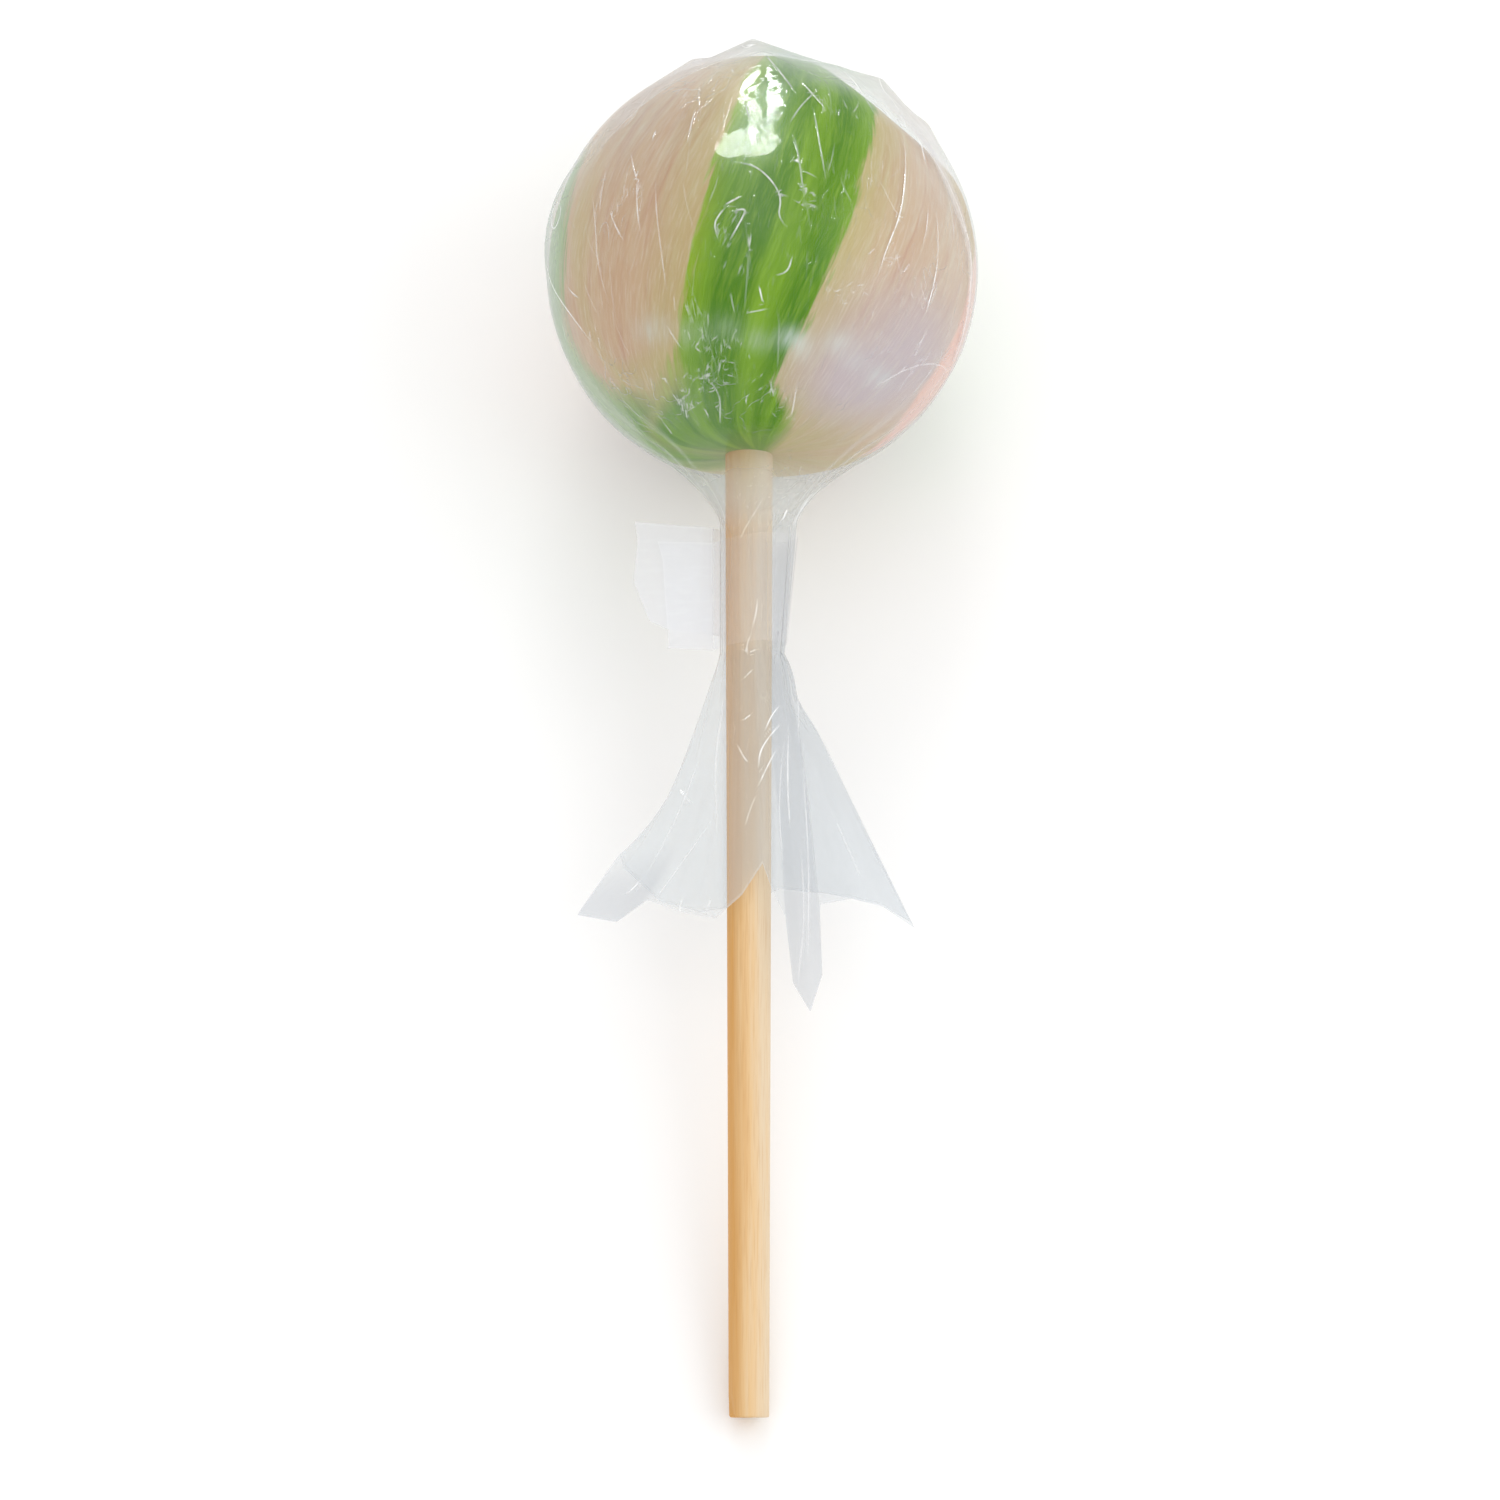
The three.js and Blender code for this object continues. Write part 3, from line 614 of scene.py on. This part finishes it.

# Thin folds in the upper layer below the ball, some of them painted glints: milkiness, then across
# and along in mm
lowFoldsAndGlints = [
    (0.3, [(0.1, 28.9), (-2.2, 32.5), (-2.5, 33.5)]), (0.9, [(2.9, 29.8), (2.3, 31.2)]),
    (0.5, [(5.8, 27.4), (4.4, 29.3), (3.5, 31.3)]), (0.5, [(8.2, 25.4), (6.4, 27.0), (5.4, 28.4)]),
    (0.6, [(-0.6, 40.7), (-0.7, 42.4), (-1.2, 44.4)]), (0.5, [(-1.3, 45.0), (-1.9, 46.4), (-1.7, 47.6)]),
    (0.6, [(-2.3, 46.9), (-1.4, 47.3), (-0.7, 46.9)]), (0.5, [(-2.2, 50.4), (-1.2, 49.4)]),
    (1.0, [(1.9, 53.7), (1.0, 54.9), (0.3, 56.6)]),
    (1.0, [(2.2, 55.7), (0.9, 57.2), (-0.3, 59.1), (-0.5, 61.2)]),
    (0.8, [(1.6, 58.9), (0.4, 61.3), (-0.5, 63.4)]), (0.7, [(-2.9, 58.4), (-2.2, 59.9), (-1.7, 60.5)]),
    (0.5, [(-2.0, 68.1), (-1.5, 66.3), (-0.8, 64.6)]), (0.9, [(-2.2, 55.4), (-1.4, 54.8)]),
    (0.7, [(3.0, 55.6), (2.85, 63.4), (3.2, 68.6)]), (0.4, [(2.4, 58.0), (1.8, 66.0), (2.4, 73.0)]),
    (0.35, [(-5.2, 66.2), (-9.0, 71.4), (-13.3, 77.3)]), (0.3, [(-6.9, 58.2), (-9.8, 66.0), (-14.2, 74.2)]),
    (0.6, [(-9.9, 62.1), (-9.3, 63.4), (-8.1, 64.8)]), (1.0, [(-16.0, 75.0), (-15.2, 74.6), (-14.2, 73.5)]),
    (0.9, [(-9.2, 76.2), (-9.6, 77.2), (-9.5, 78.6)]), (0.8, [(-6.0, 76.7), (-6.5, 78.3)]),
    (0.7, [(-14.6, 77.3), (-13.0, 77.6)]), (0.4, [(-4.4, 52.0), (-5.6, 60.0), (-5.2, 70.0)]),
    (0.4, [(4.6, 60.0), (5.4, 72.0), (5.2, 84.0)]), (0.35, [(4.4, 70.0), (4.9, 79.0), (4.0, 87.0)]),
    (0.3, [(8.2, 66.0), (11.6, 74.0)]), (0.35, [(3.6, 48.0), (4.2, 52.0), (4.1, 58.0)]),
]

# Milky places of the film on the ball: longitude, latitude, half width, half height, strength
filmClouds = [(-60, 45, 22, 16, 0.28), (-30, 68, 40, 12, 0.3), (62, 20, 14, 30, 0.1), (-2, 2, 12, 16, 0.08),
              (-55, -52, 34, 14, 0.22), (-78, 0, 12, 34, 0.16), (68, 50, 22, 14, 0.35),
              (24, 56, 26, 12, 0.18), (60, -50, 24, 16, 0.12), (4, 78, 60, 8, 0.5)]

# Places where it lies on so closely that it takes no milkiness, and one where it is pulled smooth,
# in the same way
filmClear = [(86, 20, 14, 26, 0.4), (-90, 34, 14, 24, 0.3), (-62, -60, 20, 12, 0.1)]
filmSmooth = [(-4, 58, 20, 24, 0.8)]

# Milky strips where it bends sharply off the ball: strength, half width in mm, then longitude and
# latitude of the points that each one runs through
filmStrips = [(0.5, 1.3, [(51, 37), (57, 31), (60.6, 26.6)]),
              (0.45, 0.6, [(58, 30), (60.7, 17.8), (63.7, 10.6), (68.4, 3.3), (73.3, -3.7), (78, -16),
                           (83, -26)])]


def rounded(corners):
    # cut every corner twice at a quarter of its sides, the ends stay
    for _ in range(2 if len(corners) > 2 else 0):
        near, far = corners[:-1] * 0.75 + corners[1:] * 0.25, corners[:-1] * 0.25 + corners[1:] * 0.75
        cut = np.stack([near, far], 1).reshape(-1, corners.shape[1])
        corners = np.concatenate([corners[:1], cut[1:-1], corners[-1:]])
    return corners


def filmLine(path):
    # a line of longitudes and latitudes, rounded off and laid on the film
    return onSphere(*rounded(np.array(path, float)).T) * sheet["touch"]


def fromLine(points, corners):
    # signed distance in mm to the nearest part of a line, in the plane or on the sphere, and how
    # far along the line that part is, from 0 to 1
    signed = np.full(points.shape[:-1], farAway)
    share = np.zeros(points.shape[:-1])
    for k in range(len(corners) - 1):
        a, d = corners[k], corners[k + 1] - corners[k]
        across = np.cross(a, d) if len(a) == 3 else np.array([-d[1], d[0]])
        t = np.clip((points - a) @ d / (d @ d), 0, 1)
        gap = np.linalg.norm(points - a - t[..., None] * d, axis=-1)
        nearer = gap < np.abs(signed)
        share = np.where(nearer, (k + t) / (len(corners) - 1), share)
        signed = np.where(nearer, np.where((points - a) @ across < 0, -gap, gap), signed)
    return signed, share


def nearestLine(points, lines):
    # for each point the nearest line's signed distance, 9 mm at most, and how white it is there
    side, white = np.full(points.shape[:-1], 9.0), np.zeros(points.shape[:-1])
    for milk, corners in lines:
        signed, share = fromLine(points, corners)
        nearer = np.abs(signed) < np.abs(side)
        side = np.where(nearer, signed, side)
        white = np.where(nearer, milk * smoothStep(-0.05, 0.2, np.minimum(share, 1 - share)), white)
    return side, white


def strewnLines():
    # short lines near the meridian all over the ball, and patches of shorter scuffs
    rng = np.random.default_rng(8)
    lines = []
    for _ in range(sheet["strokes"]):
        lon, lat = rng.uniform(-180, 180), rng.uniform(-66, 52)
        length, drift = 4 + min(rng.exponential(8), 12), rng.normal(0, 3)
        lines.append((0.1 + rng.exponential(0.16),
                      [(lon, lat), (lon + drift * 0.6, lat + length * 0.5), (lon + drift, lat + length)]))
    for lon, lat, turn, wild, count, white in scuffs:
        narrowing = max(math.cos(math.radians(lat)), 0.3)
        for _ in range(count):
            x, y = rng.normal(0, 3.2, 2) / [narrowing, 1] + [lon, lat]
            way = math.radians(turn + rng.normal(0, wild))
            half = rng.uniform(1.2, 4.2) / (2 if wild < 25 else 3.6)
            dx, dy = half * math.sin(way) / narrowing, half * math.cos(way)
            lines.append((white * rng.uniform(0.6, 1.2), [(x - dx, y - dy), (x + dx, y + dy)]))
    return lines


def filmReach(n):
    # taut film: the largest of the cones that touch the ball and run up to each high point. At an
    # angle a from a point that a cone touches at angle t, the cone reaches touch / cos(t - a).
    reach = np.full(n.shape[:-1], sheet["touch"])
    for height, _, path in filmFoldsAndGlints:
        corners = onSphere(*np.array(path, float).T)
        steps = np.linspace(0, len(corners) - 1, 8 * len(corners))
        spots = np.stack([np.interp(steps, np.arange(len(corners)), corners[:, k]) for k in range(3)], -1)
        spots /= np.linalg.norm(spots, axis=1, keepdims=True)
        heights = height * (0.35 + 0.65 * np.sin(np.pi * np.linspace(0.1, 0.9, len(spots))))
        for spot, high in zip(spots, heights):
            touching = math.acos(sheet["touch"] / (sheet["touch"] + high))
            away = np.arccos(np.clip(n @ spot, -1, 1))
            reach = np.maximum(reach, sheet["touch"] / np.cos(np.clip(touching - away, 0, None)))
    reach = reach + sheet["swell"] * (1 + ripple(n * rippleBall, sheet["swellSize"], 11))
    reach = reach + sheet["dimple"] * ripple(n * rippleBall, sheet["dimpleSize"], 12)
    # flat where it rests on the table
    down = np.array([0, -math.sin(lean), -math.cos(lean)])
    return np.minimum(reach, lie["restHeight"] / np.maximum(n @ down, 0.3))


def filmOverBall(angle):
    # the rings from the far pole to where the film leaves the ball, and what its material reads
    polar = np.radians(np.linspace(0, sheet["leave"], sheet["headRows"] + 1)[1:])[:, None]
    polar, angle = np.broadcast_arrays(polar, angle[None, :])
    n = np.stack([np.sin(polar) * np.cos(angle), np.cos(polar), np.sin(polar) * np.sin(angle)], -1)
    gather = sheet["gatherDepth"] * smoothStep(sheet["gatherFrom"], sheet["leave"], np.degrees(polar))
    pleats = 1 + np.cos(sheet["pleats"] * 2 * angle + 0.8 * np.sin(3 * angle))
    rings = n * (filmReach(n) + gather * pleats)[..., None]
    longitude, latitude = np.degrees(np.arctan2(n[..., 0], n[..., 2])), 90 - np.degrees(polar)
    haze = 0.004 + cloudsAt(longitude, latitude, filmClouds)
    for strength, width, path in filmStrips:
        strip, _ = fromLine(n * sheet["touch"], filmLine(path))
        haze = haze + strength * np.exp(-(strip / width) ** 2)
    haze = haze - cloudsAt(longitude, latitude, filmClear)
    shown = [(white, path) for _, white, path in filmFoldsAndGlints if white]
    lines = [(white, filmLine(path)) for white, path in shown + strewnLines()]
    side, white = nearestLine(n * sheet["touch"], lines)
    return rings, {"haze": haze, "plies": np.zeros(side.shape),
                   "lively": 1 - cloudsAt(longitude, latitude, filmSmooth),
                   "lineSide": side, "lineGap": np.abs(side), "lineWhite": white}


def neckGirth(angle, share, wave):
    # radius of the gathered neck: a circle, a bulge of film on the right, and pleats along wave
    right = np.maximum(np.cos(angle), 0)
    bulge = (sheet["bulgeTop"] + (sheet["bulgeBottom"] - sheet["bulgeTop"]) * share) * right ** 1.5
    return sheet["neckRadius"] + bulge + (sheet["pleatDepth"] + sheet["bulgePleat"] * right) * wave


def neckRing(angle, share):
    # a ring of the neck round the stick, from its top at 0 to its foot at 1
    wave = 0.7 * np.cos(sheet["pleats"] * angle) + 0.3 * np.cos(29 * angle + 1.0 + 2 * share)
    radius = neckGirth(angle, share, wave)
    along = sheet["neckTop"] + (sheet["neckBottom"] - sheet["neckTop"]) * share
    return np.stack([lie["axisAcross"] + radius * np.cos(angle), -np.broadcast_to(along, radius.shape),
                     radius * np.sin(angle)], -1)


def filmToNeck(edge, angle):
    # a Hermite curve from each point of the ball's last ring to the neck
    t = (np.arange(1, sheet["funnelRows"] + 1) / (sheet["funnelRows"] + 1))[:, None, None]
    leaving = 8 * np.stack([-np.cos(angle), np.full(len(angle), -0.6), -np.sin(angle)], -1)
    arriving = np.array([0, -7.0, 0])
    return (edge * (2 * t ** 3 - 3 * t ** 2 + 1) + leaving * (t ** 3 - 2 * t ** 2 + t)
            + neckRing(angle, 0.0) * (3 * t ** 2 - 2 * t ** 3) + arriving * (t ** 3 - t ** 2))


def sixtieths(angle):
    return (angle % (2 * np.pi)) * 60 / (2 * np.pi)


def filmSkirt(angle):
    # lines from the neck's foot to the hem, each flaring out late by its own power; on the right
    # they dip in just below the tape, and on the left they spread evenly first
    t = np.linspace(0, 1, sheet["skirtRows"])[:, None]
    edge = np.stack([np.interp(sixtieths(angle), hem[:, 0], hem[:, k], period=60) for k in (1, 2, 3, 4)], -1)
    start, end = neckRing(angle, 1.0), edge[:, :3] * [1, -1, 1]
    dent = np.exp(-((t - 0.19) / 0.09) ** 2) * smoothStep(0.6, 0.95, np.cos(angle))
    leftward = smoothStep(0.6, 0.95, -np.cos(angle))
    flare = t ** edge[:, 3] * (1 - leftward) + (0.62 * t + 0.38 * t ** 4.5) * leftward - 0.07 * dent
    return start + (end - start) * np.stack([flare, np.broadcast_to(t, flare.shape), flare], -1)


def filmBelowLooks(below, angle, ballHaze):
    # milkier where it lies on the stick, in the folded pleat, at the left tip, in the fine pleats
    # that fan out of the neck and along the cut hem
    low, step = -below[..., 1], sixtieths(angle)
    onStick = np.exp(-((below[..., 0] - lie["axisAcross"]) / 2.8) ** 6)
    taped = onStick * smoothStep(29, 32, low) * smoothStep(48, 45, low)
    untaped = onStick * smoothStep(45, 48, low)
    inPleat = smoothStep(5.0, 5.4, step) * smoothStep(11.2, 10.6, step) * smoothStep(44, 54, low)
    atTip = smoothStep(26, 28, step) * smoothStep(34, 32, step) * smoothStep(68, 76, low)
    # darker on the right, where the key light falls most: partly the plies of the neck's bulge, partly
    # painted shade
    rightPliesAndShade = smoothStep(0.2, 0.8, np.cos(angle)) * smoothStep(30, 36, low)
    rightPliesAndShade = rightPliesAndShade * (1 - 0.33 * smoothStep(48, 60, low))
    ply, milk = sheet["plies"], sheet["milk"]
    plies = ply["pleat"] * inPleat + ply["tip"] * atTip + ply["right"] * rightPliesAndShade + ply["untaped"] * untaped
    circle = np.stack([6 * np.cos(angle), 6 * np.sin(angle), np.zeros(len(angle))], -1)
    fan = np.clip(ripple(circle, 1.6, 41), 0, 2)
    haze = milk["all"] + milk["stick"] * onStick + milk["taped"] * taped
    haze = haze + milk["fan"] * fan * smoothStep(30, 50, low) + milk["untaped"] * untaped
    haze = haze + milk["funnel"] * smoothStep(24, 27, low) * smoothStep(33, 29, low)
    # it takes over from the ball's milkiness along the funnel
    rows = sheet["funnelRows"]
    taken = smoothStep(0, 0.8, np.arange(1, rows + 1) / (rows + 1))[:, None]
    haze[:rows] = ballHaze + (haze[:rows] - ballHaze) * taken
    haze[-1:] += milk["hem"]
    lively = np.full(len(below), 0.8)
    lively[-sheet["skirtRows"]:] -= 0.65 * smoothStep(0.1, 0.5, np.linspace(0, 1, sheet["skirtRows"]))
    folds = [(white, rounded(np.array(path))) for white, path in lowFoldsAndGlints]
    side, white = nearestLine(np.stack([below[..., 0], low], -1), folds)
    return {"haze": haze, "plies": np.clip(plies, 0, ply["most"]),
            "lively": np.broadcast_to(lively[:, None], haze.shape), "lineSide": side,
            "lineGap": np.where(np.sin(angle) > 0.02, np.abs(side), 9.0), "lineWhite": white}


def makeFilm():
    # rings over the ball, down to the neck, along it and down the skirt
    turn = np.linspace(0, 2 * np.pi, sheet["around"], endpoint=False)
    angle = turn + sheet["crowding"] * (np.cos(turn) - 1)
    head, headLooks = filmOverBall(angle)
    neck = neckRing(angle[None, :], np.linspace(0, 1, sheet["neckRows"], endpoint=False)[:, None])
    below = np.concatenate([filmToNeck(head[-1], angle), neck, filmSkirt(angle)])
    belowLooks = filmBelowLooks(below, angle, headLooks["haze"][-1])
    looks = {key: np.concatenate([headLooks[key], belowLooks[key]]) for key in headLooks}
    rings = np.concatenate([head, below])
    along = np.cumsum(np.linalg.norm(np.diff(rings, axis=0, prepend=rings[:1]), axis=-1), axis=0)
    girth = np.clip(np.hypot(rings[..., 0], rings[..., 2]), 4, 14)
    girth[:len(head)] = rippleBall
    stretch = np.full(along.shape, 0.16)
    stretch[:len(head)] = 0.14
    looks["way"] = np.stack([girth * np.cos(angle), girth * np.sin(angle), along * stretch], -1)
    top = [0, float(filmReach(np.array([[0.0, 1.0, 0.0]]))[0]), 0]
    piece = meshFromRings("filmWrapper", rings, filmMaterial, looks, top)
    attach(piece, "root")
    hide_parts("wrapper")


strip = {
    "width": 12.9, "clear": 0.12, "ply": 0.12,
    "rows": 40, "flagColumns": 60, "loopColumns": 150,
    "loopHalf": 168,          # degrees either way round the neck, from the right
    "joinGap": 0.9,           # mm from the neck's left to the flag
    "frontEnd": [-12.2, -11.6, -11.3, -10.9, -11.0],      # across, down the torn end
    "backEnd": [-14.9, -14.5, -15.0, -13.1, -11.2],
    "tornAt": [0, 0.17, 0.55, 0.93, 1],
    "topAt": [0, 0.3, 0.7, 1], "top": [33.0, 33.3, 31.6, 30.6],    # along its length, mm down the stick
    "wave": 0.10, "waveSize": 9,
    "haze": 0.05, "flagHaze": 0.3, "rimHaze": 0.05,
}


def makeTape():
    # a strip carried round the neck: in from the flag's front end, round the film, back behind
    down = np.linspace(0, 1, strip["rows"])[:, None]
    turn = np.radians(np.linspace(strip["loopHalf"], -strip["loopHalf"], strip["loopColumns"])[None, :])
    radius = neckGirth(turn, down, 1) + strip["clear"]
    join = lie["axisAcross"] - sheet["neckRadius"] - strip["joinGap"]
    reach = np.linspace(0, 1, strip["flagColumns"])[None, :]
    frontEnd = np.interp(down, strip["tornAt"], strip["frontEnd"])
    backEnd = np.interp(down, strip["tornAt"], strip["backEnd"])
    x = np.concatenate([frontEnd + (join - frontEnd) * reach, lie["axisAcross"] + radius * np.cos(turn),
                        join + (backEnd - join) * reach], 1)
    ply = np.full((strip["rows"], strip["flagColumns"]), strip["ply"])
    z = np.concatenate([ply, radius * np.sin(turn), -ply], 1)
    top = np.interp(np.linspace(0, 1, x.shape[1])[None, :], strip["topAt"], strip["top"])
    along = top + down * strip["width"]
    # both plies follow the same waves, so that they stay apart
    wave = strip["wave"] * ripple(np.stack([x, along, np.zeros(x.shape)], -1), strip["waveSize"], 31)
    z = z + wave * smoothStep(join, join - 1.5, x)
    points = np.stack([x, -along, z], -1)
    length = np.linalg.norm(np.diff(points[..., [0, 2]], axis=1, prepend=points[:, :1, [0, 2]]), axis=-1)
    length = np.cumsum(length, axis=1)
    rim = np.minimum(length, length[:, -1:] - length)
    rim = np.minimum(rim, np.minimum(down, 1 - down) * strip["width"])
    # the flag's plies meet at the join, and one of them reaches further at its end, top and foot
    free = smoothStep(join + 1.0, join + 0.5, x)
    opening = smoothStep(join - 0.1, join + 0.1, x)
    further = np.maximum(smoothStep(33.2, 33.0, along), smoothStep(43.9, 44.1, along))
    further = np.maximum(further, smoothStep(frontEnd + 0.05, frontEnd - 0.15, x))
    haze = strip["haze"] + strip["flagHaze"] * free * (1 - 0.5 * opening)
    haze = haze + strip["rimHaze"] * free * np.exp(-rim / 0.12)
    looks = {"way": np.stack([length * 0.3, along, np.zeros(x.shape)], -1),
             "haze": haze, "free": free, "alone": free * (1 - opening) * further}
    piece = meshFromRings("neckTape", points, tapeMaterial, looks, closed=False, flip=True)
    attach(piece, "root")
    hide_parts("tape")


makeCandy()
print("candy")
makeStick()
print("stick")
makeFilm()
print("film")
makeTape()
print("tape")

room = {"table": 1.6, "tableTone": "#E9E9E9", "tableLight": "#FFFFFF", "tableGlow": 0.10, "sky": 1.03}


# Opal acrylic, cast in a flat sheet: even white, faintly lit from below as a light table is.
def opalAcrylic():
    material, add = newMaterial("opalAcrylicTable")
    skin = add("BsdfPrincipled", {
        "Base Color": tone(room["tableTone"]), "Roughness": 0.7,
        "Emission Color": tone(room["tableLight"]), "Emission Strength": room["tableGlow"]})
    add("OutputMaterial", {"Surface": skin})
    return material


def makeTable():
    # one flat square
    half = room["table"] / 2
    corners = [(-half, -half, 0), (half, -half, 0), (half, half, 0), (-half, half, 0)]
    mesh = bpy.data.meshes.new("tableTop")
    mesh.from_pydata(corners, [], [(0, 1, 2, 3)])
    mesh.materials.append(opalAcrylic())
    table = bpy.data.objects.new("tableTop", mesh)
    bpy.context.scene.collection.objects.link(table)


# Lamps: place and the point each one faces in metres, width, height and power. The three windows
# light nothing and show only as the crown-shaped highlight: a patch below and two prongs above.
lamps = {
    "key": [(0.85, -0.15, 0.75), (0, -0.05, 0), 0.9, 0.9, 3.0],
    "windowTop": [(-0.07, 0.54, 0.55), (0, 0, 0.02), 0.36, 0.30, 9.0],
    "windowLeft": [(-0.048, 0.69, 0.32), (0, 0, 0.02), 0.058, 0.68, 4.4],
    "windowRight": [(0.046, 0.69, 0.32), (0, 0, 0.02), 0.042, 0.68, 4.2],
}


def turnedTo(place, aim):
    return (Vector(aim) - Vector(place)).to_track_quat("-Z", "Y").to_euler()


def makeLamps():
    for name, (place, aim, width, height, power) in lamps.items():
        light = bpy.data.lights.new(name, "AREA")
        light.shape = "ELLIPSE" if name == "windowTop" else "RECTANGLE"
        light.size, light.size_y = width, height
        light.energy = power
        lamp = bpy.data.objects.new(name, light)
        lamp.location = place
        lamp.rotation_euler = turnedTo(place, aim)
        lamp.visible_diffuse = name == "key"
        bpy.context.scene.collection.objects.link(lamp)


def makeSky():
    # even white light from all round
    world = bpy.data.worlds.new("studio")
    world.use_nodes = True
    background = world.node_tree.nodes["Background"]
    background.inputs["Color"].default_value = (1, 1, 1, 1)
    background.inputs["Strength"].default_value = room["sky"]
    bpy.context.scene.world = world


lens = {
    "fromStick": 15.0,        # degrees: the stick leans this much towards the lens
    "distance": 2000.0,       # mm, a long lens
    "pixelsPerMm": 8.6244,    # at that distance, in the frame below
    "frame": 1500,            # pixels
    "sensor": 36.0,           # mm
    "acrossMiddle": -1.46, "alongMiddle": 58.1,
}


def makeCamera():
    tilt = math.radians(lens["fromStick"])
    middle = np.array([lens["acrossMiddle"], -lens["alongMiddle"], 0.0])
    place = placed(middle + np.array([0.0, -math.sin(tilt), math.cos(tilt)]) * lens["distance"])
    camera = bpy.data.objects.new("camera", bpy.data.cameras.new("camera"))
    camera.location = place
    camera.rotation_euler = turnedTo(place, placed(middle))
    camera.data.sensor_width = lens["sensor"]
    camera.data.lens = lens["sensor"] * lens["distance"] * lens["pixelsPerMm"] / lens["frame"]
    camera.data.clip_end = 20
    bpy.context.scene.collection.objects.link(camera)
    bpy.context.scene.camera = camera


makeTable()
makeLamps()
makeSky()
makeCamera()
bpy.context.scene.view_settings.view_transform = "Standard"
bpy.context.scene.cycles.transparent_max_bounces = 32
print("table, light and camera")
